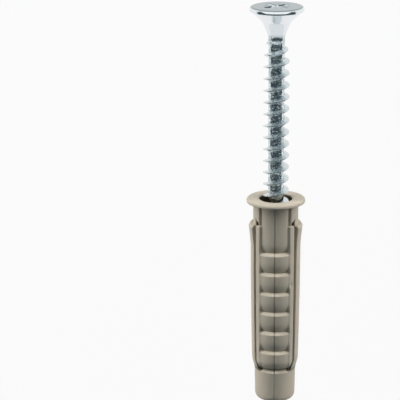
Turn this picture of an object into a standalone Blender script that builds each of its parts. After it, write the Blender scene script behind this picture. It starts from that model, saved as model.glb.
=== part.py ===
"""Expansion wall plug with a countersunk screw started in its mouth.

Both pieces are modelled upright about one axis: the plug's tip is at z = 0,
its flange and the screw's head point up +Z, and its ribbed front faces -Y.
One empty then lays them down on the flange's rim and the head's rim.
"""
import math

import bmesh
import bpy

# Plug, in metres, heights measured up from its tip
plug_length = 0.0400
flange_radius = 0.00548
flange_thickness = 0.00095
flange_edge = 0.00015
flange_bevel = 0.0005
neck_radius = 0.00423
neck_length = 0.0036
mouth_radius = 0.00308
mouth_depth = 0.0030
mouth_edge = 0.00014
rail_radius = 0.00455
rail_taper = 0.0002
rail_ledge = 0.0001
tip_radius = 0.00388
tip_length = 0.0063
tip_chamfer = 0.0007
tip_taper = 0.0001
tip_face_radius = 0.0030
shoulder_length = 0.0020
pilot_radius = 0.0008

# Side arms of the plug, with a nose at their top
arm_radius = 0.00469
arm_taper = 0.0003
nose_radius = 0.00503
nose_rise = 0.00005
nose_round = 0.0005
nose_length = 0.0040
nose_flat = 0.0009
nose_bend = 0.0024
arm_foot_step = 0.0009

# Slots between the side arms and the ribbed panels
slot_width = 0.0005
slot_angle = math.radians(55.6)
slot_end_width = 0.00045
slot_foot_lean = 0.0011
slot_foot_drop = 0.0020
slot_head_lean = 0.0008
slot_head_rise = 0.0008
slot_head_shift = 0.00012

# Saw-tooth ribs on the front and back panels
rib_pitch = 0.00393
rib_depth = 0.0006
rib_ledge = 0.0006
rib_crest = 0.0012
rib_half_width = 0.00285
rib_side_flare = 0.65
rib_below_rail = 0.00012
rib_foot_drop = 0.00015
relief_inner = 0.0016
window_depth = 0.00011
window_dip = 0.00012
window_smooth = 0.0045
window_ramp = 0.0019
slit_width = 0.00022
slit_depth = 0.0003
slit_floor_at_tip = 0.00298

# Channels beside the smooth window, from the rails' tops up to the flange
channel_inner = 0.0026
channel_outer = 0.0030
channel_floor = 0.0023

# Screw, heights measured down from the top of its head
screw_length = 0.0500
stand_out = 0.0362
head_radius = 0.0050
head_edge = 0.00012
head_rim = 0.00045
cone_end_radius = 0.0029
throat_length = 0.0029
shank_radius = 0.00155
shank_length = 0.0010
core_radius = 0.00140
thread_radius = 0.00240
thread_pitch = 0.00222
thread_start = -0.00122
thread_base = 0.0006
thread_crest = 0.0001
thread_runout = 0.0034
point_length = 0.0070
point_radius = 0.00015
point_height = 0.00012

# Cross recess of the head
recess_radius = 0.00245
recess_floor_radius = 0.0011
recess_depth = 0.0024
recess_wing = 0.0010
recess_turn = math.radians(40)

# Room between the screw's thread and the plug's bore
bore_clearance = 0.00035

# Finishes: base colour, roughness, metallic
plastic_finish = ((0.42, 0.38, 0.31), 0.5, 0.0)
zinc_finish = ((0.72, 0.75, 0.78), 0.25, 1.0)

# Facets of the turned shapes
plug_segments = 48
head_segments = 48
thread_segments = 24
throat_steps = 5
taper_steps = 4

# Merge distance, how far a cutter runs past what it cuts, and where shading breaks
weld = 0.000002
overrun = 0.0010
sharp_angle = math.radians(25)

# Heights worked out from the sizes above
flange_under = plug_length - flange_thickness
flange_middle = flange_under + flange_thickness / 2
inside_flange = (flange_under + flange_middle) / 2
panel_top = flange_under - neck_length
panel_foot = tip_length + shoulder_length
nose_top = panel_top + nose_rise
cutter_radius = max(flange_radius, nose_radius) + overrun
screw_top = plug_length + stand_out
screw_tip = screw_top - screw_length
throat_top = screw_top - head_rim - (head_radius - cone_end_radius)
shank_top = throat_top - throat_length
thread_top = shank_top - shank_length


def clear_scene():
    for thing in list(bpy.data.objects):
        bpy.data.objects.remove(thing, do_unlink=True)


def make_collection(name):
    group = bpy.data.collections.new(name)
    bpy.context.scene.collection.children.link(group)
    return group


def make_material(name, colour, roughness, metallic):
    material = bpy.data.materials.new(name)
    material.use_nodes = True
    shader = material.node_tree.nodes["Principled BSDF"]
    shader.inputs["Base Color"].default_value = (*colour, 1.0)
    shader.inputs["Roughness"].default_value = roughness
    shader.inputs["Metallic"].default_value = metallic
    material.diffuse_color = (*colour, 1.0)
    return material


def add_object(name, mesh, group):
    thing = bpy.data.objects.new(name, mesh)
    group.objects.link(thing)
    return thing


def turned(name, outline, segments, group, ring=False, corners_ahead=False):
    """A turned shape: its outline runs down the outer side, top to bottom.

    Flats face the X and Y axes, or corners where corners_ahead is set.
    A ring's outline goes on up its inner side and closes on itself.
    """
    start = 0.0 if corners_ahead else math.pi / segments
    points = [(r * math.cos(start), r * math.sin(start), z) for r, z in outline]
    edges = [(i, i + 1) for i in range(len(points) - 1)]
    if ring:
        edges.append((len(points) - 1, 0))
    mesh = bpy.data.meshes.new(name)
    mesh.from_pydata(points, edges, [])
    thing = add_object(name, mesh, group)
    turn = thing.modifiers.new("Turn", "SCREW")
    turn.axis = "Z"
    turn.angle = 2 * math.pi
    turn.steps = segments
    turn.render_steps = segments
    turn.use_merge_vertices = True
    turn.merge_threshold = weld
    return thing


def block(name, low, high, group):
    """A box between two opposite corners."""
    middle = [(a + b) / 2 for a, b in zip(low, high)]
    spans = [b - a for a, b in zip(low, high)]
    shape = bmesh.new()
    bmesh.ops.create_cube(shape, size=1.0)
    bmesh.ops.scale(shape, vec=spans, verts=shape.verts)
    bmesh.ops.translate(shape, vec=middle, verts=shape.verts)
    mesh = bpy.data.meshes.new(name)
    shape.to_mesh(mesh)
    shape.free()
    return add_object(name, mesh, group)


def mirror(thing, across_x, across_y):
    """Copies a cutter to the other side of the axis, front to back or left to right."""
    both = thing.modifiers.new("Both sides", "MIRROR")
    both.use_axis = (across_x, across_y, False)
    both.use_mirror_merge = False


def combine(target, tool, operation):
    tool.hide_render = True
    tool.display_type = "WIRE"
    step = target.modifiers.new(tool.name, "BOOLEAN")
    step.operation = operation
    step.object = tool
    step.solver = "EXACT"
    seam = target.modifiers.new(tool.name + " seam", "WELD")
    seam.merge_threshold = weld


def finished(thing, group, material):
    """The thing as a plain mesh in the parts' collection, smooth but for its real edges."""
    bpy.context.view_layer.update()
    graph = bpy.context.evaluated_depsgraph_get()
    mesh = bpy.data.meshes.new_from_object(thing.evaluated_get(graph))
    name = thing.name
    bpy.data.objects.remove(thing, do_unlink=True)
    mesh.materials.clear()
    mesh.materials.append(material)
    mesh.shade_smooth()
    mesh.set_sharp_from_angle(angle=sharp_angle)
    mesh.name = name
    return add_object(name, mesh, group)


def lowered(height):
    """How far down the panels a height lies, from 0 at their top to 1 at their foot."""
    share = (panel_top - height) / (panel_top - panel_foot)
    return min(max(share, 0.0), 1.0)


def rail_at(height):
    return rail_radius - rail_taper * lowered(height) ** 2


def arm_at(height):
    return arm_radius - arm_taper * lowered(height) ** 2


def panel_heights():
    return [panel_top - (panel_top - panel_foot) * i / taper_steps for i in range(1, taper_steps + 1)]


def plug_core(group):
    """Neck, rails and tip ring in one turned body, whose top ends inside the flange."""
    outline = [(0, flange_middle), (neck_radius, flange_middle), (neck_radius, panel_top)]
    outline.append((rail_radius, panel_top - rail_ledge))
    outline += [(rail_at(height), height) for height in panel_heights()]
    outline += [(tip_radius, tip_length), (tip_radius - tip_taper, tip_chamfer)]
    outline += [(tip_face_radius, 0), (0, 0)]
    return turned("wall_plug", outline, plug_segments, group, corners_ahead=True)


def side_arms(group):
    """The arms' own turned outline, kept to a band about the X axis on each side."""
    nose_end = nose_top - nose_length
    bend = math.sin(math.radians(45))
    outline = [(0, nose_top), (nose_radius - nose_round, nose_top)]
    outline.append((nose_radius - nose_round * (1 - bend), nose_top - nose_round * (1 - bend)))
    outline += [(nose_radius, nose_top - nose_round), (nose_radius, nose_top - nose_flat)]
    outline += [((nose_radius + arm_radius) / 2, nose_top - nose_bend), (arm_radius, nose_end)]
    outline += [(arm_at(height), height) for height in panel_heights() if height < nose_end]
    foot_radius = arm_at(panel_foot) - arm_foot_step
    outline += [(foot_radius, tip_length), (0, tip_length)]
    arms = turned("side_arms", outline, plug_segments, group)
    half_band = (rail_radius + arm_radius) / 2 * math.cos(slot_angle)
    low = (-cutter_radius, -half_band, 0)
    high = (cutter_radius, half_band, plug_length)
    combine(arms, block("arm_band", low, high, group), "INTERSECT")
    return arms


def rib_relief(group):
    """What is cut away over the saw-tooth ribs and the smooth window above them."""
    window = neck_radius - window_depth
    lowest = tip_length + rib_ledge - rib_foot_drop
    count = int((panel_top - window_smooth - lowest) / rib_pitch) + 1
    valleys = [lowest + rib_pitch * i for i in reversed(range(count))]
    inner = [(window, inside_flange), (window, valleys[0] + window_ramp)]
    for height in valleys[:-1]:
        crest = rail_at(height) - rib_below_rail
        depth = rib_depth + window_dip if height == valleys[0] else rib_depth
        inner.append((crest - depth, height))
        inner.append((crest, height - rib_ledge))
        inner.append((crest, height - rib_ledge - rib_crest))
    inner.append((tip_radius - rib_depth, lowest))
    reach = cutter_radius - inner[-1][0]
    inner.append((cutter_radius, lowest - reach * rib_ledge / rib_depth))
    outline = [(cutter_radius, inside_flange)] + inner[::-1]
    relief = turned("rib_relief", outline, plug_segments, group, ring=True)
    low = (-rib_half_width, -cutter_radius, 0)
    high = (rib_half_width, -relief_inner, plug_length)
    panel = block("rib_width", low, high, group)
    surface = math.sqrt(rail_radius ** 2 - rib_half_width ** 2)
    for corner in panel.data.vertices:
        half_width = rib_half_width + rib_side_flare * (-corner.co.y - surface)
        corner.co.x = math.copysign(half_width, corner.co.x)
    mirror(panel, False, True)
    combine(relief, panel, "INTERSECT")
    return relief


def centre_slit(group):
    """The thin slit down the middle of the front and back, a little deeper at the tip."""
    floor = rail_radius - rib_below_rail - rib_depth - window_dip - slit_depth
    low = (-slit_width / 2, -cutter_radius, -overrun)
    high = (slit_width / 2, -floor, inside_flange)
    slit = block("centre_slit", low, high, group)
    for corner in slit.data.vertices:
        if corner.co.z < 0 and corner.co.y > -cutter_radius:
            corner.co.y = -slit_floor_at_tip
    mirror(slit, False, True)
    return slit


def neck_channels(group):
    """Upright channels that carry the slots on past the rails, up to the flange."""
    low = (channel_inner, -cutter_radius, panel_top - rail_ledge / 2)
    high = (channel_outer, -channel_floor, inside_flange)
    channel = block("neck_channel", low, high, group)
    mirror(channel, True, True)
    return channel


def slot_plates(group):
    """Two plates through the axis, which cut the four long slots."""
    plates = []
    low = (-cutter_radius, -slot_width / 2, panel_foot + slot_width / 2)
    high = (cutter_radius, slot_width / 2, panel_top + slot_head_rise / 2)
    for side in (-1, 1):
        plate = block("slot_plate", low, high, group)
        plate.rotation_euler.z = side * (math.pi / 2 - slot_angle)
        plates.append(plate)
    return plates


def slot_end(name, start, lean, fall, group):
    """A slanted bar that ends a slot: it goes inwards by lean and down by fall."""
    length = math.hypot(lean, fall)
    inner = rail_radius * math.cos(slot_angle) - slot_width
    low = (-slot_end_width / 2, -cutter_radius, -length)
    high = (slot_end_width / 2, -inner, slot_end_width / 2)
    bar = block(name, low, high, group)
    slant = math.atan2(lean, fall)
    for corner in bar.data.vertices:
        x, z = corner.co.x, corner.co.z
        corner.co.x = start[0] + x * math.cos(slant) + z * math.sin(slant)
        corner.co.z = start[1] - x * math.sin(slant) + z * math.cos(slant)
    mirror(bar, True, True)
    return bar


def flange(group):
    """A thin disc with a small edge above and a wide bevel below."""
    outline = [(0, plug_length), (flange_radius - flange_edge, plug_length)]
    outline += [(flange_radius, plug_length - flange_edge), (flange_radius, flange_under + flange_bevel)]
    outline += [(flange_radius - flange_bevel, flange_under), (0, flange_under)]
    return turned("flange", outline, plug_segments, group)


def bore(group):
    """The mouth, the bore round the thread, the cone round its point and the pilot hole."""
    wide = thread_radius + bore_clearance
    narrow = point_radius + point_height + bore_clearance
    cone_top = screw_tip + point_length
    slope = (wide - narrow) / point_length
    cone_end = screw_tip - (narrow - pilot_radius) / slope
    rise = mouth_edge + overrun
    outline = [(0, plug_length + overrun), (mouth_radius + rise, plug_length + overrun)]
    outline += [(mouth_radius, plug_length - mouth_edge), (wide, plug_length - mouth_depth)]
    outline += [(wide, cone_top), (pilot_radius, cone_end)]
    outline += [(pilot_radius, -overrun), (0, -overrun)]
    return turned("bore", outline, plug_segments // 2, group)


def build_plug(parts, cutters, material):
    plug = plug_core(parts)
    combine(plug, rib_relief(cutters), "DIFFERENCE")
    combine(plug, centre_slit(cutters), "DIFFERENCE")
    combine(plug, neck_channels(cutters), "DIFFERENCE")
    combine(plug, side_arms(cutters), "UNION")
    combine(plug, flange(cutters), "UNION")
    combine(plug, bore(cutters), "DIFFERENCE")
    for plate in slot_plates(cutters):
        combine(plug, plate, "DIFFERENCE")
    slot_reach = rail_radius * math.sin(slot_angle)
    foot_start = (slot_reach, panel_foot + slot_width)
    foot = slot_end("slot_foot", foot_start, slot_foot_lean, slot_foot_drop + slot_width, cutters)
    head_start = (slot_reach + slot_head_shift, panel_top + slot_head_rise)
    head = slot_end("slot_head", head_start, slot_head_lean, slot_head_rise, cutters)
    combine(plug, foot, "DIFFERENCE")
    combine(plug, head, "DIFFERENCE")
    return finished(plug, parts, material)


def core_at(height):
    share = (height - screw_tip) / point_length
    return point_radius + (core_radius - point_radius) * min(max(share, 0.0), 1.0)


def ridge_at(height):
    """Height of the thread's ridge: it fades out below the shank and towards the point."""
    full = thread_radius - core_radius
    rise = min(max((height - screw_tip) / point_length, 0.0), 1.0)
    fade = min(max((thread_top - height) / thread_runout, 0.0), 1.0)
    return (point_height + (full - point_height) * rise) * math.sqrt(fade)


def threaded_rod(group):
    """One pitch of the ridge's outline, wound up the axis, then shaped and cut off flat.

    The winding starts below the point and ends inside the head, so both cuts are whole.
    """
    half_pitch = thread_pitch / 2
    upper = [(core_radius, half_pitch), (core_radius, thread_base / 2), (thread_radius, thread_crest / 2)]
    outline = upper + [(r, -z) for r, z in reversed(upper)]
    turns = int((thread_top - screw_tip) / thread_pitch) + 3
    mesh = bpy.data.meshes.new("threaded_rod")
    points = [(r, 0, screw_tip + thread_start - half_pitch + z) for r, z in outline]
    mesh.from_pydata(points, [(i, i + 1) for i in range(len(points) - 1)], [])
    wound = add_object("threaded_rod", mesh, group)
    winding = wound.modifiers.new("Wind", "SCREW")
    winding.axis = "Z"
    winding.angle = 2 * math.pi
    winding.screw_offset = thread_pitch
    winding.iterations = turns
    winding.steps = thread_segments
    winding.render_steps = thread_segments
    bpy.context.view_layer.update()
    graph = bpy.context.evaluated_depsgraph_get()
    shape = bmesh.new()
    shape.from_mesh(wound.evaluated_get(graph).to_mesh())
    bpy.data.objects.remove(wound, do_unlink=True)
    bmesh.ops.remove_doubles(shape, verts=shape.verts, dist=weld)
    for corner in shape.verts:
        x, y, height = corner.co
        old = math.hypot(x, y)
        new = core_at(height) + ridge_at(height) * (old - core_radius) / (thread_radius - core_radius)
        corner.co.x = x * new / old
        corner.co.y = y * new / old
    buried = thread_top + shank_length
    for height, side in ((screw_tip, -1), (buried, 1)):
        everything = shape.verts[:] + shape.edges[:] + shape.faces[:]
        bmesh.ops.bisect_plane(
            shape,
            geom=everything,
            dist=weld,
            plane_co=(0, 0, height),
            plane_no=(0, 0, side),
            clear_outer=True,
        )
    rims = [edge for edge in shape.edges if edge.is_boundary]
    bmesh.ops.holes_fill(shape, edges=rims, sides=0)
    bmesh.ops.recalc_face_normals(shape, faces=shape.faces)
    rod = bpy.data.meshes.new("threaded_rod")
    shape.to_mesh(rod)
    shape.free()
    return add_object("threaded_rod", rod, group)


def screw_head(group):
    """Countersunk head, its hollow throat and the plain shank below it."""
    outline = [(0, screw_top), (head_radius - head_edge, screw_top), (head_radius, screw_top - head_edge)]
    outline += [(head_radius, screw_top - head_rim), (cone_end_radius, throat_top)]
    for i in range(1, throat_steps + 1):
        share = i / throat_steps
        radius = shank_radius + (cone_end_radius - shank_radius) * (1 - share) ** 2
        outline.append((radius, throat_top - throat_length * share))
    outline += [(shank_radius, thread_top), (0, thread_top)]
    return turned("screw", outline, head_segments, group)


def cross_recess(group):
    """Four tapered wings round a tapered middle, sunk in the top of the head."""
    slope = (recess_radius - recess_floor_radius) / recess_depth
    lip = recess_radius + slope * overrun
    floor = screw_top - recess_depth
    above = screw_top + overrun
    outline = [(0, above), (lip, above), (recess_floor_radius, floor), (0, floor)]
    cone = turned("recess", outline, head_segments, group)
    half = recess_wing / 2
    low = (-recess_radius - overrun, -half, floor - overrun)
    high = (recess_radius + overrun, half, above + overrun)
    wings = block("recess_wings", low, high, group)
    cross = block("recess_cross", low, high, group)
    wings.rotation_euler.z = recess_turn
    cross.rotation_euler.z = recess_turn + math.pi / 2
    combine(wings, cross, "UNION")
    combine(cone, wings, "INTERSECT")
    return cone


def build_screw(parts, cutters, material):
    screw = screw_head(parts)
    combine(screw, threaded_rod(cutters), "UNION")
    combine(screw, cross_recess(cutters), "DIFFERENCE")
    return finished(screw, parts, material)


def lay_down(pieces, group):
    """An empty that lays the axis along +Y, resting on the flange's rim and the head's rim."""
    flat = math.cos(math.pi / plug_segments)
    head_flat = math.cos(math.pi / head_segments)
    flange_rest = (flange_radius * flat, plug_length - flange_edge)
    head_rest = (head_radius * head_flat, screw_top - head_edge)
    lean = math.atan2(flange_rest[0] - head_rest[0], head_rest[1] - flange_rest[1])
    height = flange_rest[0] * math.cos(lean) + flange_rest[1] * math.sin(lean)
    far_end = screw_top * math.cos(lean) + (head_radius - head_edge) * head_flat * math.sin(lean)
    near_end = -tip_face_radius * flat * math.sin(lean)
    frame = bpy.data.objects.new("axis", None)
    group.objects.link(frame)
    frame.rotation_euler.x = -math.pi / 2 - lean
    frame.location = (0, -(far_end + near_end) / 2, height)
    for piece in pieces:
        piece.parent = frame


def main():
    clear_scene()
    parts = make_collection("wall plug with screw")
    cutters = make_collection("cutters")
    plastic = make_material("beige grey plastic", *plastic_finish)
    zinc = make_material("zinc-plated steel", *zinc_finish)
    plug = build_plug(parts, cutters, plastic)
    screw = build_screw(parts, cutters, zinc)
    lay_down((plug, screw), parts)
    bpy.context.view_layer.update()


main()
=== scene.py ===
import math

import bmesh
import bpy
import numpy as np
from mathutils import Matrix


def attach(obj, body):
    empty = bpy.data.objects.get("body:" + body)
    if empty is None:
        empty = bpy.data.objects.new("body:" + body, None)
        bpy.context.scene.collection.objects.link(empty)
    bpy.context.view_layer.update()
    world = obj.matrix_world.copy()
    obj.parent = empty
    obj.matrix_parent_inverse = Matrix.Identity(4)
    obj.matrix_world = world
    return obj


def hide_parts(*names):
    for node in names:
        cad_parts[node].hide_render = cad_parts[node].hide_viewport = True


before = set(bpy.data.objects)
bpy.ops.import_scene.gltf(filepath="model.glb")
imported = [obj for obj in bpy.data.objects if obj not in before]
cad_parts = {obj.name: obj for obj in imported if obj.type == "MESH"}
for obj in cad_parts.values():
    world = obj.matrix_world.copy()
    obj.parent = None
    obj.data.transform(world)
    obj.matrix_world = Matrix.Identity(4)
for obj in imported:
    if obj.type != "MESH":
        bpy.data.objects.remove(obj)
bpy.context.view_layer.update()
print("frame loaded:", sorted(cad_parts))

# Every size below is in millimetres, on the upright object: the plug's tip is at
# height 0, its flange and the screw's head point up, its ribbed front faces -Y.
plug = {
    "length": 40.0,
    "flangeRadius": 5.48,
    "flangeThickness": 0.95,
    # How far below the flange's top its widest ring touches the floor
    "flangeEdge": 0.15,
    # The rounded lip above the bevel: its width, and its height
    "flangeCrown": (0.3, 0.41),
    # The bevel under the flange's lip: radius, and height above the flange's underside
    "flangeBevel": [(4.4, 0.0), (4.75, 0.14), (5.1, 0.24), (5.3, 0.28), (5.42, 0.32), (5.47, 0.38)],
    # Rings over the flange's flat top
    "flangeRings": (4.7, 4.2, 3.7),
    "neckRadius": 4.23,
    "neckLength": 3.6,
    "mouthRadius": 3.08,
    "mouthDepth": 3.0,
    "mouthRound": 0.16,
    "boreRadius": 2.75,
    "boreConeTop": 33.2,
    "boreConeEnd": 26.8,
    "pilotRadius": 0.8,
    "tipRadius": 3.88,
    "tipTaper": 0.11,
    "tipLength": 6.3,
    # The tip's rounded edge: its width, and its height
    "tipRound": (1.35, 1.10),
    "tipFace": 3.0,
    "shoulderLength": 2.1,
    # How far the shoulder's curve reaches below and above the shoulder
    "shoulderBlend": (0.3, 0.2),
    "railRadius": 4.55,
    "railTaper": 0.2,
    "railLedge": 0.1,
    "armRadius": 4.69,
    "armTaper": 0.3,
    "noseRadius": 5.03,
    "noseTop": 35.25,
    "noseRound": 0.5,
    "noseLength": 4.2,
    "noseEase": 1.2,
    "slotLow": 6.3,
    "slotHigh": 36.4,
    "slotEdge": 0.13,
    "slotEnd": 0.25,
    # Height, then the slot's panel side and arm side in degrees from the front
    "slotSides": [
        (6.30, 39.5, 45.0),
        (6.45, 39.5, 49.0),
        (7.20, 45.5, 53.0),
        (8.40, 52.5, 58.7),
        (35.38, 52.5, 58.7),
        (35.50, 47.0, 58.7),
        (36.05, 48.5, 58.7),
        (36.40, 58.0, 61.0),
    ],
    "ribPitch": 3.93,
    "ribLowest": 6.75,
    "ribCount": 7,
    "ribDepth": 0.66,
    "ribLedge": 0.55,
    "ribRamp": 2.3,
    "ribEase": 2.4,
    "ledgeEase": 1.4,
    "ribBelowRail": 0.12,
    "ribFullFrom": 10.0,
    # Distances from the middle between which the ribs fade into the rail
    "ribFade": (2.55, 2.95),
    "windowRadius": 4.12,
    "windowRamp": 1.9,
    "windowDip": 0.16,
    # Distances from the middle: the channel's inner wall, its floor's two sides, its outer wall
    "channel": (2.55, 2.60, 2.78, 2.85),
    "channelRadius": 3.15,
    "stripFlat": 2.95,
    "slitHalf": (0.04, 0.1),
    "slitDepth": 0.3,
    "slitFade": (5.6, 6.8),
    "slitShare": 0.6,
    # Distance from the middle, height, half width, half height and depth
    "nick": (3.12, 23.9, 0.25, 0.35, 0.35),
    "sharpAngle": 38,
}

screw = {
    "length": 50.0,
    "standOut": 36.2,
    "headRadius": 5.0,
    "headEdge": 0.12,
    "shankRadius": 1.55,
    "coreRadius": 1.47,
    "threadRadius": 2.4,
    "pitch": 2.22,
    "leftRidge": 56.06,
    "threadTop": 70.0,
    "runOut": 3.4,
    "runOutEase": 0.5,
    "spareTurns": 4,
    "shankBlend": 0.7,
    "pointLength": 7.0,
    "pointRadius": 0.15,
    "pointEase": 0.8,
    "pointNib": 0.08,
    "ridgeHalfBase": 0.46,
    "ridgeHalfCrest": 0.07,
    "flankEase": 1.25,
    "turnSteps": 96,
    "headSteps": 192,
    # Radius and height of the hollow throat and the cone above it
    "throat": [
        (1.55, 70.0), (1.55, 70.5), (1.57, 70.8), (1.66, 71.05), (1.85, 71.4), (2.0, 71.8),
        (2.15, 72.2), (2.3, 72.55), (2.45, 72.9), (2.66, 73.3), (2.95, 73.65), (3.4, 74.07),
        (4.0, 74.62), (4.5, 75.06), (4.84, 75.36),
    ],
    # The rim's lower edge: its centre's radius, depth below the face, and round
    "rimEdge": (4.9, 0.78, 0.1),
    # The rim's rounded upper edge: its width, and its height
    "crown": (0.58, 0.6),
    # Rings of the face: first radius, last radius, count
    "faceRings": [(4.4, 3.1, 4), (2.9, 0.06, 46)],
    "recessRadius": 2.7,
    "recessDepth": 2.4,
    "recessFloor": 1.1,
    "wingHalf": 0.55,
    "wallSlope": 7.0,
    # The recess's round middle: its radius, and the most that it counts as inside the outline
    "hub": (1.0, 0.3),
    "recessTurn": 40.0,
    "markDepth": 0.14,
    "markHalf": 0.13,
    "markReach": (0.9, 2.4),
    "markFade": 0.1,
    "sharpAngle": 30,
}
mm = 0.001
# The solids are turned with this many flat sides, which are what touches the floor
solidSides = 48
weldWithin = 2e-7


def smoothStep(low, high, value):
    # 0 below low, 1 above high, and 3t^2 - 2t^3 between
    t = np.clip((value - low) / (high - low), 0, 1)
    return t * t * (3 - 2 * t)


def stretches(stops, counts):
    # Positions from the first stop to the last, with a count of equal steps in each stretch
    runs = [np.linspace(a, b, n, endpoint=False) for a, b, n in zip(stops[:-1], stops[1:], counts)]
    return np.concatenate(runs + [stops[-1:]])


def arcPoints(centre, radius, first, last, steps):
    # Points of an arc in the (radius, height) plane: centre + radius * (cos a, sin a)
    a = np.radians(np.linspace(first, last, steps + 1))
    return np.stack([centre[0] + radius * np.cos(a), centre[1] + radius * np.sin(a)], 1)


def laidDown(points):
    # Upright millimetres to the frame's metres: turned about X by -90 degrees and the
    # small lean that sets both the flange's rim and the head's rim on the floor
    screwTop = plug["length"] + screw["standOut"]
    flat = math.cos(math.pi / solidSides)
    flangeRest = (plug["flangeRadius"] * flat, plug["length"] - plug["flangeEdge"])
    headRest = (screw["headRadius"] * flat, screwTop - screw["headEdge"])
    lean = math.atan2(flangeRest[0] - headRest[0], headRest[1] - flangeRest[1])
    height = flangeRest[0] * math.cos(lean) + flangeRest[1] * math.sin(lean)
    faceRadius = (screw["headRadius"] - screw["headEdge"]) * flat
    farEnd = screwTop * math.cos(lean) + faceRadius * math.sin(lean)
    nearEnd = -plug["tipFace"] * flat * math.sin(lean)
    x, y, z = points.T
    along = z * math.cos(lean) - y * math.sin(lean) - (farEnd + nearEnd) / 2
    up = height - y * math.cos(lean) - z * math.sin(lean)
    return np.stack([x, along, up], 1) * mm


def turnedPoints(angle, radius, height):
    # Angle is measured from the front, -Y, towards +X
    angle, radius, height = np.broadcast_arrays(angle, radius, height)
    return np.stack([radius * np.sin(angle), -radius * np.cos(angle), height], -1)


def ringFaces(rows):
    # Quads between neighbouring rows of vertex numbers, the last column joined to the first
    low, high = rows[:-1], rows[1:]
    return np.stack([low, np.roll(low, -1, 1), np.roll(high, -1, 1), high], -1)


def joinedRings(fine, coarse, kept):
    # Faces between a fine ring and a coarse one whose columns are the kept columns of the fine
    owner = np.searchsorted(kept, np.arange(len(fine)), side="right") - 1
    ahead = np.roll(owner, -1)
    following = np.roll(fine, -1)
    same = owner == ahead
    triangles = np.stack([fine, following, coarse[owner]], 1)[same]
    quads = np.stack([fine, following, coarse[ahead], coarse[owner]], 1)[~same]
    return triangles.tolist() + quads.tolist()


def addPiece(name, points, faces, material, sharpAngle):
    # A welded mesh with its faces out, smooth except at edges sharper than the angle
    mesh = bpy.data.meshes.new(name)
    mesh.from_pydata(points.tolist(), [], faces)
    shape = bmesh.new()
    shape.from_mesh(mesh)
    bmesh.ops.remove_doubles(shape, verts=shape.verts, dist=weldWithin)
    bmesh.ops.dissolve_degenerate(shape, edges=shape.edges, dist=weldWithin)
    bmesh.ops.recalc_face_normals(shape, faces=shape.faces)
    openEdges = sum(1 for edge in shape.edges if len(edge.link_faces) != 2)
    shape.to_mesh(mesh)
    triangles = sum(len(face.verts) - 2 for face in shape.faces)
    shape.free()
    mesh.shade_smooth()
    mesh.set_sharp_from_angle(angle=math.radians(sharpAngle))
    mesh.materials.append(material)
    piece = bpy.data.objects.new(name, mesh)
    bpy.context.scene.collection.objects.link(piece)
    print(name, "has", triangles, "triangles and", openEdges, "open edges")
    return piece


class Wire:
    # A shader socket that can be added, multiplied and so on with numbers and other sockets

    def __init__(self, tree, socket=None):
        self.tree = tree
        self.socket = socket

    def node(self, kind, settings, inputs, output=0):
        # A node of that type: its settings first, then the values or links of its sockets
        made = self.tree.nodes.new(kind)
        for name, value in settings.items():
            setattr(made, name, value)
        for name, value in inputs.items():
            if isinstance(value, Wire):
                self.tree.links.new(value.socket, made.inputs[name])
            else:
                made.inputs[name].default_value = value
        return Wire(self.tree, made.outputs[output])

    def math(self, operation, *values):
        inputs = dict(enumerate((self, *values)))
        return self.node("ShaderNodeMath", {"operation": operation}, inputs)

    def mixed(self, factor, first, second):
        colours = {0: factor, 6: first, 7: second}
        return self.node("ShaderNodeMix", {"data_type": "RGBA"}, colours, output=2)

    def ramp(self, low, high):
        # 0 below low and 1 above high, smooth between
        spread = {"interpolation_type": "SMOOTHSTEP"}
        return self.node("ShaderNodeMapRange", spread, {0: self, 1: low, 2: high})

    def __add__(self, other):
        return self.math("ADD", other)

    def __sub__(self, other):
        return self.math("SUBTRACT", other)

    def __mul__(self, other):
        return self.math("MULTIPLY", other)

    def __rsub__(self, other):
        return self * -1 + other

    __radd__ = __add__
    __rmul__ = __mul__


def newMaterial(name):
    material = bpy.data.materials.new(name)
    material.use_nodes = True
    shader = material.node_tree.nodes["Principled BSDF"]
    return material, shader, Wire(material.node_tree)


def feed(shader, inputs):
    # Values and links for the shader's own sockets
    for name, value in inputs.items():
        if isinstance(value, Wire):
            value.tree.links.new(value.socket, shader.inputs[name])
        else:
            shader.inputs[name].default_value = value


def noise(place, scale, detail):
    inputs = {"Vector": place, "Scale": scale, "Detail": detail}
    return place.node("ShaderNodeTexNoise", {}, inputs)


def axisPlace(place):
    # Distance from the screw's and plug's axis, a straight line that dips slightly along Y,
    # and height above the plug's tip, both in metres
    across, along, up = [
        place.node("ShaderNodeSeparateXYZ", {}, {0: place}, output=axis) for axis in "XYZ"
    ]
    near, far = laidDown(np.array([[0, 0, 0], [0, 0, plug["length"]]]))
    dip = (far[2] - near[2]) / (far[1] - near[1])
    lift = up - (near[2] + dip * (along - near[1]))
    return (across * across + lift * lift).math("SQRT"), along - near[1]


nylon = {
    "colour": (0.53, 0.472, 0.378, 1),
    "warm": (0.56, 0.48, 0.385, 1),
    # Painted shade for the hollows: inside these radii, in metres, and between the two first and
    # the two last heights; beside the middle by more than slotAside, inside the wider slotFrom
    "paintedShade": (0.09, 0.075, 0.04, 1),
    "deepFrom": (0.0031, 0.0038),
    "deepRows": (0.0061, 0.0066, 0.0397, 0.0399),
    "slotFrom": (0.0038, 0.0042),
    "slotAside": (0.0026, 0.0029),
    "mottleScale": 260,
    "mottleFrom": (0.4, 0.65),
    "grainScale": 5200,
    "grainStrength": 0.12,
    "grainHeight": 0.00004,
    "roughness": 0.42,
    "roughSpread": 0.1,
    "sheen": 0.15,
}


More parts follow.
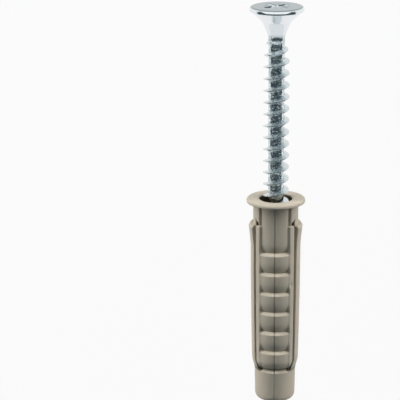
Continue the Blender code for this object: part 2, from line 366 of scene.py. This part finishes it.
def plugPlastic():
    material, shader, wire = newMaterial("beige_grey_nylon")
    place = wire.node("ShaderNodeTexCoord", {}, {}, output="Object")
    mottle = noise(place, nylon["mottleScale"], 3)
    grain = noise(place, nylon["grainScale"], 4)
    bump = wire.node("ShaderNodeBump", {}, {
        "Strength": nylon["grainStrength"], "Distance": nylon["grainHeight"], "Height": grain,
    })
    aside = wire.node("ShaderNodeSeparateXYZ", {}, {0: place}, output="X").math("ABSOLUTE")
    radius, height = axisPlace(place)
    # Painted shade: darker in the slots, the channels and the bore, but not on the tip ring or the
    # flange
    low, lowEnd, high, highEnd = nylon["deepRows"]
    slots = aside.ramp(*nylon["slotAside"]) * (1 - radius.ramp(*nylon["slotFrom"]))
    paintedShade = (1 - radius.ramp(*nylon["deepFrom"])).math("MAXIMUM", slots)
    paintedShade = paintedShade * height.ramp(low, lowEnd) * (1 - height.ramp(high, highEnd))
    skin = wire.mixed(mottle.ramp(*nylon["mottleFrom"]), nylon["colour"], nylon["warm"])
    feed(shader, {
        "Base Color": wire.mixed(paintedShade, skin, nylon["paintedShade"]),
        "Roughness": nylon["roughness"] + nylon["roughSpread"] * mottle,
        "Normal": bump,
        "Specular IOR Level": nylon["sheen"],
    })
    return material


zinc = {
    # The crest, head, valley and face colours are one plating painted lighter and darker: painted
    # shade in the valleys and on the face, painted light on the crests and the head
    "crest": (0.67, 0.725, 0.745, 1),
    "head": (0.82, 0.848, 0.865, 1),
    "valley": (0.50, 0.57, 0.59, 1),
    "mark": (0.86, 0.91, 0.92, 1),
    "face": (0.295, 0.35, 0.37, 1),
    # In metres: radii where the valleys turn into the crests, heights where the head starts
    # and where its face starts
    "crestFrom": (0.00150, 0.00172),
    "headFrom": (0.0706, 0.0716),
    "faceFrom": (0.07601, 0.07613),
    "markScale": 1900,
    "markFrom": (0.46, 0.62),
    "markHeight": 0.0001,
    "markOnHead": 0.02,
    "roughness": 0.1,
    "roughSpread": 0.14,
}


def screwZinc():
    material, shader, wire = newMaterial("bright_zinc")
    place = wire.node("ShaderNodeTexCoord", {}, {}, output="Object")
    marks = noise(place, zinc["markScale"], 4)
    radius, height = axisPlace(place)
    # Painted shade and light: dim valleys with random pale marks, brighter crests, a lighter head,
    # which is also smoother, and its face painted darker
    onHead = height.ramp(*zinc["headFrom"])
    crestShare = radius.ramp(*zinc["crestFrom"])
    platingAndShade = wire.mixed(crestShare, zinc["valley"], zinc["crest"])
    platingAndShade = wire.mixed(marks.ramp(*zinc["markFrom"]) * (1 - crestShare), platingAndShade, zinc["mark"])
    platingAndShade = wire.mixed(onHead, platingAndShade, zinc["head"])
    rough = marks * (1 - (1 - zinc["markOnHead"]) * onHead)
    bump = wire.node("ShaderNodeBump", {}, {
        "Strength": 1.0, "Distance": zinc["markHeight"], "Height": rough,
    })
    feed(shader, {
        "Base Color": wire.mixed(height.ramp(*zinc["faceFrom"]), platingAndShade, zinc["face"]),
        "Roughness": zinc["roughness"] + zinc["roughSpread"] * marks,
        "Metallic": 1.0,
        "Normal": bump,
    })
    return material


def slotAngles(height):
    # The slot's two sides at a height, in radians from the nearest panel's middle
    heights, *sides = np.array(plug["slotSides"]).T
    return [np.radians(np.interp(height, heights, side)) for side in sides]


def tipRadiusAt(height):
    # The tip ring widens a little upwards, and a quarter round ends it below
    radius = plug["tipRadius"] - plug["tipTaper"] * np.clip(1 - height / plug["tipLength"], 0, 1)
    across, tall = plug["tipRound"]
    turn = np.clip(1 - height / tall, 0, 1)
    return radius - across * (1 - np.sqrt(1 - turn ** 2))


def taperedAt(height, radius, taper):
    # Radius of the rails or the arms: tip ring, smooth shoulder, then the radius less the
    # taper times the square of how far down the panel the height lies
    panelTop = plug["length"] - plug["flangeThickness"] - plug["neckLength"]
    panelFoot = plug["tipLength"] + plug["shoulderLength"]
    lowered = np.clip((panelTop - height) / (panelTop - panelFoot), 0, 1)
    tip = tipRadiusAt(height)
    full = radius - taper * lowered ** 2
    below, above = plug["shoulderBlend"]
    return tip + (full - tip) * smoothStep(plug["tipLength"] - below, panelFoot + above, height)


def ribSkin(height, rail):
    # Radius of the saw-tooth down the middle of a panel: from each valley a ramp eases out
    # upwards to the crest, and a short ledge goes back in to the next valley
    pitch, ledge, top = plug["ribPitch"], plug["ribLedge"], plug["ribCount"] - 1
    above = np.clip(np.floor((height - plug["ribLowest"]) / pitch), -1, top)
    past = height - plug["ribLowest"] - pitch * above
    crest = rail - plug["ribBelowRail"] * smoothStep(plug["tipLength"], plug["ribFullFrom"], height)
    inWindow = above == top
    upper = np.where(inWindow, plug["windowRadius"], crest)
    depth = plug["ribDepth"] + plug["windowDip"] * inWindow - (crest - upper)
    length = np.where(inWindow, plug["windowRamp"], plug["ribRamp"])
    onRamp = upper - depth * np.clip(1 - past / length, 0, 1) ** plug["ribEase"] * (above >= 0)
    nextDepth = plug["ribDepth"] + plug["windowDip"] * (above == top - 1)
    inLedge = np.clip((past - pitch + ledge) / ledge, 0, 1)
    onLedge = crest - nextDepth * inLedge ** plug["ledgeEase"] * ~inWindow
    return np.minimum(onRamp, np.where(inWindow, upper, onLedge))


def plugSkin(angle, height):
    # Radius of the plug's outer skin at an angle from the front and a height. The fold is
    # the angle from the nearest panel's middle, front or back.
    panelTop = plug["length"] - plug["flangeThickness"] - plug["neckLength"]
    fold = np.abs((angle + np.pi / 2) % np.pi - np.pi / 2)
    panelSide, armSide = slotAngles(height)
    # Panel: the rail, which steps in to the neck at its top, with the ribs down its middle
    rail = taperedAt(height, plug["railRadius"], plug["railTaper"])
    toNeck = np.clip((height - panelTop + plug["railLedge"]) / plug["railLedge"], 0, 1)
    panel = rail + (plug["neckRadius"] - rail) * toNeck
    across = panel * np.sin(fold)
    ribs = 1 - smoothStep(*plug["ribFade"], across)
    panel = panel + (np.minimum(ribSkin(height, rail), panel) - panel) * ribs
    # Neck: a channel each side of the middle, and outside it a flat strip, whose radius is
    # its distance over the angle's cosine, kept off zero
    inNeck = height >= panelTop
    inner, innerFoot, outerFoot, outer = plug["channel"]
    channel = smoothStep(inner, innerFoot, across) * (1 - smoothStep(outerFoot, outer, across))
    panel = np.where(inNeck, panel + (plug["channelRadius"] - panel) * channel, panel)
    strip = plug["stripFlat"] / np.maximum(np.cos(fold), 0.1)
    panel = np.where(inNeck & (across > outerFoot), np.minimum(panel, strip), panel)
    # A fine slit down the middle, shallower on the tip ring, and one nick in the right rail:
    # its depth times e to the power of minus twice the squared distance
    slit = 1 - smoothStep(*plug["slitHalf"], across)
    shallow = smoothStep(*plug["slitFade"], height)
    panel = panel - plug["slitDepth"] * slit * (1 - plug["slitShare"] * (1 - shallow))
    nickAcross, nickHeight, nickWide, nickTall, nickDepth = plug["nick"]
    side = panel * np.sin(angle)
    near = ((side - nickAcross) / nickWide) ** 2 + ((height - nickHeight) / nickTall) ** 2
    panel = panel - nickDepth * np.exp(-near * 2) * (np.cos(angle) > 0)

    # Arm: swells up to the nose by a power of the height, with a quarter round on top
    arm = taperedAt(height, plug["armRadius"], plug["armTaper"])
    noseFoot = plug["noseTop"] - plug["noseLength"]
    bulge = np.clip((height - noseFoot) / (plug["noseLength"] - plug["noseRound"]), 0, 1)
    arm = arm + (plug["noseRadius"] - plug["armRadius"]) * bulge ** plug["noseEase"]
    over = np.clip((height - plug["noseTop"]) / plug["noseRound"] + 1, 0, 1)
    arm = arm - plug["noseRound"] * (1 - np.sqrt(1 - over ** 2))
    arm = np.where(height >= plug["noseTop"], plug["neckRadius"], arm)

    # Across the slot the radius runs from the panel's to the arm's, and quarter rounds
    # break the slot's edges
    between = np.clip((fold - panelSide) / (armSide - panelSide), 0, 1)
    skin = panel + (arm - panel) * between
    gap = np.maximum(panelSide - fold, fold - armSide) * skin
    edge = plug["slotEdge"]
    drop = edge - np.sqrt(np.maximum(edge ** 2 - np.clip(edge - gap, 0, edge) ** 2, 0))
    opened = smoothStep(plug["slotLow"] - plug["slotEnd"], plug["slotLow"], height)
    closed = smoothStep(plug["slotHigh"], plug["slotHigh"] + plug["slotEnd"], height)
    return skin - drop * opened * (1 - closed)


# The plug's mesh: rows at heights, columns as shares of each section round the axis
grid = {
    "rowStep": 0.4,
    "tipRows": ([0.0, 0.3, 0.8], [6, 4]),
    # Above and below each rib's valley
    "valleyRows": ([-0.78, -0.5, -0.1, 0.14], [5, 4, 5]),
    # How far below the slots, last height and step
    "footRows": (0.3, 8.6, 0.1),
    # First height, how far above the slots, and step
    "topRows": (35.2, 0.3, 0.06),
    "leastStep": 0.035,
    # From the panel's or the arm's middle to its side
    "panelShares": ([0, 0.012, 0.026, 0.06, 0.52, 0.80, 0.97, 1.0], [2, 2, 2, 13, 18, 10, 4]),
    "armShares": ([0, 0.95, 1.0], [14, 4]),
    "slotShares": (0, 0.5),
    # From the pilot hole to the tip ring's side
    "tipShares": (0.35, 0.8),
    # The bore keeps every ninth column; its rows above and below the slots
    "boreColumns": 9,
    "boreAbove": 36.8,
    "boreBelow": (5.0, 2.5, 0),
}


def plugHeights():
    # Rows of the outer skin: even, with more where the ribs, the slots' ends and the tip turn
    top = plug["length"] - plug["flangeThickness"]
    runs = [np.arange(0, top, grid["rowStep"]), stretches(*grid["tipRows"])]
    for i in range(plug["ribCount"]):
        valley = plug["ribLowest"] + plug["ribPitch"] * i
        runs.append(valley + stretches(*grid["valleyRows"]))
    below, last, step = grid["footRows"]
    runs.append(np.arange(plug["slotLow"] - below, last, step))
    first, above, step = grid["topRows"]
    runs.append(np.arange(first, plug["slotHigh"] + above, step))
    runs.append([plug["slotLow"], plug["slotHigh"], top])
    heights = np.unique(np.concatenate(runs).round(3))
    fixed = np.isin(heights, [0, plug["slotLow"], plug["slotHigh"], round(top, 3)])
    apart = np.append(True, np.diff(heights) > grid["leastStep"])
    return heights[fixed | (apart & ~np.roll(fixed & ~apart, -1))]


def plugAngles(height):
    # Eight sections round the axis: panel, slot, arm, slot, panel, slot, arm, slot. Each
    # column keeps its share of its section, whose sides move with height.
    panelSide, armSide = [side[:, None] for side in slotAngles(height)]
    halves = [stretches(*grid[name]) for name in ("panelShares", "armShares")]
    panelShare, armShare = [np.append(-half[::-1], half[1:-1]) for half in halves]
    slotShare = np.array(grid["slotShares"])
    sections = []
    isSlot = []
    for turn in (0, np.pi):
        sections.append(turn + panelShare * panelSide)
        sections.append(turn + panelSide + slotShare * (armSide - panelSide))
        sections.append(turn + np.pi / 2 + armShare * (np.pi / 2 - armSide))
        sections.append(turn + np.pi - armSide + slotShare * (armSide - panelSide))
        isSlot += [0] * len(panelShare) + [1, 1] + [0] * len(armShare) + [1, 1]
    return np.concatenate(sections, 1), np.array(isSlot, bool)


def flangeOutline():
    # From the neck's root out under the flange, round its lip and in over its top to the
    # mouth's edge, then down the mouth's slight taper
    low, top = plug["length"] - plug["flangeThickness"], plug["length"]
    radius, edge = plug["flangeRadius"], plug["mouthRound"]
    across, tall = plug["flangeCrown"]
    under = [(reach, low + rise) for reach, rise in plug["flangeBevel"]]
    lip = (radius - across, top - tall) + arcPoints((0, 0), 1, 0, 90, 7) * (across, tall)
    over = [(ring, top) for ring in plug["flangeRings"]]
    mouth = plug["mouthRadius"]
    rim = arcPoints((mouth + edge, top - edge), edge, 90, 180, 4)
    depths = np.linspace(0, 1, 7)[1:, None]
    taper = rim[-1] + depths * (np.array([plug["boreRadius"], top - plug["mouthDepth"]]) - rim[-1])
    return np.concatenate([under, lip, over, rim, taper])


def boreRadiusAt(height):
    # The pilot hole widens into the bore by a straight cone
    heights = [plug["boreConeEnd"], plug["boreConeTop"]]
    return np.interp(height, heights, [plug["pilotRadius"], plug["boreRadius"]])


def makePlug(material):
    # One closed skin: out over the tip face, up the outside, round the flange, into the
    # mouth and down the bore, with the four slots cut through and walled
    heights = plugHeights()
    angles, isSlot = plugAngles(heights)
    skin = plugSkin(angles, heights[:, None])
    outline = flangeOutline()
    shares = np.array(grid["tipShares"])[:, None]
    pilot = plug["pilotRadius"]
    tipRows = turnedPoints(angles[:1], pilot + shares * (skin[:1] - pilot), shares * 0)
    sideRows = turnedPoints(angles, skin, heights[:, None])
    flangeRows = turnedPoints(angles[-1:], outline[:, :1], outline[:, 1:])
    fine = np.concatenate([tipRows, sideRows, flangeRows])

    columns = angles.shape[1]
    slotStarts = np.flatnonzero(isSlot & ~np.roll(isSlot, 1))
    atSlots = np.concatenate([slotStarts, slotStarts + 1, slotStarts + 2]) % columns
    kept = np.unique(np.append(np.arange(0, columns, grid["boreColumns"]), atSlots))
    inSlots = (heights >= plug["slotLow"]) & (heights <= plug["slotHigh"])
    slotRows = np.flatnonzero(inSlots)[::-1]
    below = grid["boreBelow"]
    boreHeights = np.concatenate([[grid["boreAbove"]], heights[slotRows], below])
    boreAngles = np.concatenate([angles[-1:], angles[slotRows], angles[[0] * len(below)]])[:, kept]
    coarse = turnedPoints(boreAngles, boreRadiusAt(boreHeights)[:, None], boreHeights[:, None])

    fineNumbers = np.arange(fine[..., 0].size).reshape(fine.shape[:2])
    coarseNumbers = fine[..., 0].size + np.arange(coarse[..., 0].size).reshape(coarse.shape[:2])
    sideNumbers = fineNumbers[len(tipRows):len(tipRows) + len(heights)]
    low, high = slotRows[-1], slotRows[0]

    fineFaces = ringFaces(fineNumbers)
    cut = np.zeros(fineFaces.shape[:2], bool)
    cut[len(tipRows) + low:len(tipRows) + high] = isSlot
    coarseFaces = ringFaces(coarseNumbers)
    coarseCut = np.zeros(coarseFaces.shape[:2], bool)
    coarseCut[1:len(slotRows)] = isSlot[kept]
    faces = fineFaces[~cut].tolist() + coarseFaces[~coarseCut].tolist()
    faces += joinedRings(fineNumbers[-1], coarseNumbers[0], kept)
    faces += joinedRings(fineNumbers[0], coarseNumbers[-1], kept)

    for start in slotStarts:
        across = np.array([start, start + 1, (start + 2) % columns])
        up = np.arange(low, high + 1)
        rising, falling = np.full(len(up) - 1, across[2]), np.full(len(up) - 2, start)
        column = np.concatenate([across, rising, across[1::-1], falling])
        row = np.concatenate([[low] * 3, up[1:], [high] * 2, up[-2:0:-1]])
        outer = sideNumbers[row, column]
        inner = coarseNumbers[1 + high - row, np.searchsorted(kept, column)]
        walls = np.stack([outer, np.roll(outer, -1), np.roll(inner, -1), inner], 1)
        faces += walls.tolist()
    points = np.concatenate([fine.reshape(-1, 3), coarse.reshape(-1, 3)])
    return addPiece("plug_body", laidDown(points), faces, material, plug["sharpAngle"])


def ridgeOutline():
    # One pitch of the thread: distance along the axis from the ridge's middle, and share of
    # the ridge's height, which rises from its foot by a power of the way up the flank
    base, crest, pitch = screw["ridgeHalfBase"], screw["ridgeHalfCrest"], screw["pitch"]
    flank = np.linspace(0, 1, 6)
    rise = base + (crest - base) * flank
    height = flank ** screw["flankEase"]
    valley = flank * (pitch / 2 - base)
    offset = np.concatenate([-pitch / 2 + valley[:-1], -rise, rise[::-1], base + valley[1:-1]])
    return offset, np.concatenate([flank[:-1] * 0, height, height[::-1], flank[1:-1] * 0])


def coreAt(height):
    # Radius under the thread: a straight point, an even core, then smooth out to the shank
    tip = plug["length"] + screw["standOut"] - screw["length"]
    share = np.clip((height - tip) / screw["pointLength"], 0, 1)
    core = screw["pointRadius"] + (screw["coreRadius"] - screw["pointRadius"]) * share
    toShank = smoothStep(screw["threadTop"] - screw["shankBlend"], screw["threadTop"], height)
    return core + (screw["shankRadius"] - screw["coreRadius"]) * toShank


def threadPoints():
    # A ribbon one pitch wide wound up the axis: turn by turn its top edge is the next turn's
    # bottom edge. Heights past the tip or the shank are held there, so the ends close.
    tip = plug["length"] + screw["standOut"] - screw["length"]
    offset, share = ridgeOutline()
    steps, pitch = screw["turnSteps"], screw["pitch"]
    turns = int((screw["threadTop"] - tip) / pitch) + screw["spareTurns"]
    count = turns * steps
    winding = np.arange(count) / steps
    first = screw["leftRidge"] - pitch * (math.ceil((screw["leftRidge"] - tip) / pitch) + 1)
    angle = 2 * np.pi * winding - np.pi / 2
    height = first + pitch * winding[:, None] + offset
    height = np.clip(height, tip, screw["threadTop"])
    fade = np.clip((screw["threadTop"] - height) / screw["runOut"], 0, 1) ** screw["runOutEase"]
    rise = np.clip((height - tip) / screw["pointLength"], 0, 1) ** screw["pointEase"]
    full = screw["threadRadius"] - screw["coreRadius"]
    radius = coreAt(height) + full * fade * rise * share
    return turnedPoints(angle[:, None], radius, height)


def headOutline():
    # Under the head from the shank up: hollow throat, cone, the rim's lower edge, and the
    # quarter ellipse that rounds it into the flat face
    top = plug["length"] + screw["standOut"]
    radius, depth, turn = screw["rimEdge"]
    edge = arcPoints((radius, top - depth), turn, -60, 0, 4)
    across, tall = screw["crown"]
    turned = arcPoints((0, 0), 1, 0, 90, 8) * (across, tall)
    crown = (screw["headRadius"] - across, top - tall) + turned
    return np.concatenate([screw["throat"], edge, crown])


def recessDip(across, along):
    # Depth of the cross recess: inside the cross the walls fall steeply from its outline,
    # down to a cone whose floor narrows to its middle, and star marks lie between the wings
    turn = math.radians(screw["recessTurn"])
    a = np.abs(across * math.cos(turn) + along * math.sin(turn))
    b = np.abs(along * math.cos(turn) - across * math.sin(turn))
    distance = np.hypot(a, b)
    narrow = np.minimum(a, b)
    inside = np.minimum(screw["wingHalf"] - narrow, screw["recessRadius"] - distance)
    hubRadius, hubInside = screw["hub"]
    inside = np.maximum(inside, np.minimum(hubRadius - distance, hubInside))
    walls = screw["wallSlope"] * inside
    slope = screw["recessDepth"] / (screw["recessRadius"] - screw["recessFloor"])
    cone = np.clip(slope * (screw["recessRadius"] - distance), 0, screw["recessDepth"])
    dip = np.clip(np.minimum(walls, cone), 0, None)
    near, far = screw["markReach"]
    mark = np.clip(1 - np.abs(a - b) / math.sqrt(2) / screw["markHalf"], 0, 1)
    fade = screw["markFade"]
    mark = mark * smoothStep(near - fade, near, distance)
    mark = mark * (1 - smoothStep(far - fade, far, distance))
    return np.maximum(dip, screw["markDepth"] * mark)


def makeScrew(material):
    # One closed skin: the wound thread, a small cone that ends its point, and the head,
    # turned from its outline and closed by its dipped face
    top = plug["length"] + screw["standOut"]
    thread = threadPoints()
    steps, headSteps = screw["turnSteps"], screw["headSteps"]
    count, width = thread.shape[:2]
    numbers = np.arange(count * width).reshape(count, width)
    here = numbers[:-steps - 1]
    beside = numbers[1:-steps]
    upper = np.append(here[:, 1:], numbers[steps:-1, :1], 1)
    upperBeside = np.append(beside[:, 1:], numbers[steps + 1:, :1], 1)
    faces = np.stack([here, beside, upperBeside, upper], -1).reshape(-1, 4).tolist()
    points = [thread.reshape(-1, 3)]
    total = count * width

    angle = 2 * np.pi * np.arange(headSteps) / headSteps - np.pi / 2
    every = headSteps // steps
    tip = top - screw["length"]
    endAngle = angle[::every]
    tipRing = turnedPoints(endAngle, np.full(steps, screw["pointRadius"]), np.full(steps, tip))
    points += [tipRing, np.array([[0, 0, tip - screw["pointNib"]]])]
    ring = total + np.arange(steps)
    centre = total + steps
    faces += np.stack([ring, np.roll(ring, -1), np.full(steps, centre)], 1).tolist()
    total += steps + 1

    outline = headOutline()
    lathe = turnedPoints(angle[None], outline[:, :1], outline[:, 1:])
    radii = np.concatenate([np.linspace(*rings) for rings in screw["faceRings"]])
    x, y = radii[:, None] * np.sin(angle), -radii[:, None] * np.cos(angle)
    face = np.stack([x, y, top - recessDip(x, y)], -1)
    head = np.concatenate([lathe, face])
    headNumbers = total + np.arange(head[..., 0].size).reshape(head.shape[:2])
    faces += ringFaces(headNumbers).reshape(-1, 4).tolist()
    total += head[..., 0].size
    shankEnd = np.full(steps, screw["shankRadius"]), np.full(steps, screw["threadTop"])
    shankRing = turnedPoints(endAngle, *shankEnd)
    kept = np.arange(0, headSteps, every)
    faces += joinedRings(headNumbers[0], total + np.arange(steps), kept)
    total += steps
    middle = np.array([[0, 0, top - screw["recessDepth"]]])
    ring = headNumbers[-1]
    faces += np.stack([ring, np.roll(ring, -1), np.full(headSteps, total)], 1).tolist()
    points += [head.reshape(-1, 3), shankRing, middle]
    points = laidDown(np.concatenate(points))
    return addPiece("screw_body", points, faces, material, screw["sharpAngle"])


def dress(piece, node):
    # The piece rides on the only body, and takes the place of its solid
    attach(piece, "root")
    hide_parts(node)


dress(makePlug(plugPlastic()), "wall_plug")
dress(makeScrew(screwZinc()), "screw")
print("plug and screw made")

stage = {
    "floorHalf": 3.0,
    "floorColour": (0.86, 0.86, 0.86, 1),
    "floorRoughness": 0.9,
    "floorSheen": 0.1,
    # How much of its even white the camera and mirrors see, the rest being the lit floor
    "floorGlow": 0.94,
    "horizon": (0.80, 0.82, 0.83, 1),
    "zenith": (0.045, 0.07, 0.08, 1),
    # Heights on the unit sphere between which the horizon turns into the zenith
    "darkFrom": (0.02, 0.07),
}


def makeFloor():
    half = stage["floorHalf"]
    mesh = bpy.data.meshes.new("floor")
    corners = [(-half, -half, 0), (half, -half, 0), (half, half, 0), (-half, half, 0)]
    mesh.from_pydata(corners, [], [(0, 1, 2, 3)])
    floor = bpy.data.objects.new("floor", mesh)
    bpy.context.scene.collection.objects.link(floor)
    material, shader, wire = newMaterial("white_floor")
    feed(shader, {
        "Base Color": stage["floorColour"],
        "Roughness": stage["floorRoughness"],
        "Specular IOR Level": stage["floorSheen"],
    })
    rays = ("Is Camera Ray", "Is Glossy Ray", "Is Transmission Ray")
    seen, glossy, through = [wire.node("ShaderNodeLightPath", {}, {}, output=ray) for ray in rays]
    glow = wire.node("ShaderNodeEmission", {}, {"Color": (1, 1, 1, 1), "Strength": 1.0})
    lit = Wire(wire.tree, shader.outputs[0])
    factor = (seen + glossy + through) * stage["floorGlow"]
    both = wire.node("ShaderNodeMixShader", {}, {0: factor, 1: lit, 2: glow})
    output = wire.tree.nodes["Material Output"]
    wire.tree.links.new(both.socket, output.inputs["Surface"])
    mesh.materials.append(material)


def makeWorld():
    # Pale at the horizon, dark overhead, where the camera's side of the studio is unlit
    world = bpy.data.worlds.new("studio")
    bpy.context.scene.world = world
    world.use_nodes = True
    wire = Wire(world.node_tree)
    direction = wire.node("ShaderNodeTexCoord", {}, {}, output="Generated")
    apart = wire.node("ShaderNodeSeparateXYZ", {}, {0: direction}, output="Z")
    sky = wire.mixed(apart.ramp(*stage["darkFrom"]), stage["horizon"], stage["zenith"])
    background = world.node_tree.nodes["Background"]
    wire.tree.links.new(sky.socket, background.inputs["Color"])
    background.inputs["Strength"].default_value = 1.0


def addLight(name, place, size, power, onMatt, inMirror):
    # A soft rectangle that faces the object, seen by matt surfaces, by mirror ones or by both
    lamp = bpy.data.lights.new(name, "AREA")
    lamp.shape = "RECTANGLE"
    lamp.size, lamp.size_y = size
    lamp.energy = power
    thing = bpy.data.objects.new(name, lamp)
    bpy.context.scene.collection.objects.link(thing)
    thing.location = place
    thing.visible_diffuse, thing.visible_glossy = onMatt, inMirror
    thing.rotation_euler = thing.location.to_track_quat("Z", "Y").to_euler()


# Name, place, size and power of each light, and whether matt and mirror surfaces see it.
# The cards are what the screw's throat, cone and rim reflect.
lights = [
    ("low_key", (0.0, 0.80, 0.22), (0.8, 0.3), 2.9, True, False),
    ("high_key", (0.0, 0.75, 0.40), (0.6, 0.4), 1.0, True, False),
    ("left_fill", (-0.70, 0.30, 0.12), (0.8, 0.2), 4.8, True, False),
    ("right_fill", (0.70, 0.30, 0.12), (0.8, 0.2), 4.0, True, False),
    ("near_card", (0.0, -0.90, 0.55), (3.6, 1.1), 9.6, False, True),
    ("far_card", (0.0, 0.64, 0.64), (2.3, 1.5), 10.8, False, True),
]

# Distances in millimetres and turns in degrees, about the upright object
camera = {
    "distance": 330.0,
    "aimHeight": 39.5,
    "depression": 17.08,
    "around": 2.0,
    "yaw": 2.456,
    "roll": 0.32,
    "lens": 159.03,
    "sensor": 36.0,
    "clip": (0.01, 20.0),
}


def turnedPair(first, second, turn):
    # Two crossed directions turned in their plane, the first towards the second
    cosine, sine = math.cos(turn), math.sin(turn)
    return cosine * first + sine * second, cosine * second - sine * first


def makeCamera():
    # The photograph's view of the upright object, laid down with it: the camera looks ahead,
    # down and turned about the axis, then yaws to set the object off centre, then rolls
    eye = bpy.data.cameras.new("camera")
    eye.lens = camera["lens"]
    eye.sensor_width = camera["sensor"]
    eye.clip_start, eye.clip_end = camera["clip"]
    thing = bpy.data.objects.new("camera", eye)
    bpy.context.scene.collection.objects.link(thing)
    turns = ("depression", "around", "yaw", "roll")
    down, around, yaw, roll = [math.radians(camera[name]) for name in turns]
    level = math.cos(down)
    ahead = np.array([-math.sin(around) * level, math.cos(around) * level, -math.sin(down)])
    place = np.array([0, 0, camera["aimHeight"]]) - camera["distance"] * ahead
    side = np.array([math.cos(around), math.sin(around), 0])
    above = np.cross(side, ahead)
    ahead, side = turnedPair(ahead, side, -yaw)
    side, above = turnedPair(side, above, roll)
    corners = laidDown(np.array([place, place + side, place + above, place - ahead])) / mm
    axes = (corners[1:] - corners[0]).T
    thing.location = corners[0] * mm
    thing.rotation_euler = Matrix(axes.tolist()).to_euler()
    bpy.context.scene.camera = thing


makeFloor()
makeWorld()
for light in lights:
    addLight(*light)
makeCamera()
bpy.context.scene.view_settings.view_transform = "Standard"
print("stage, lights and camera made")
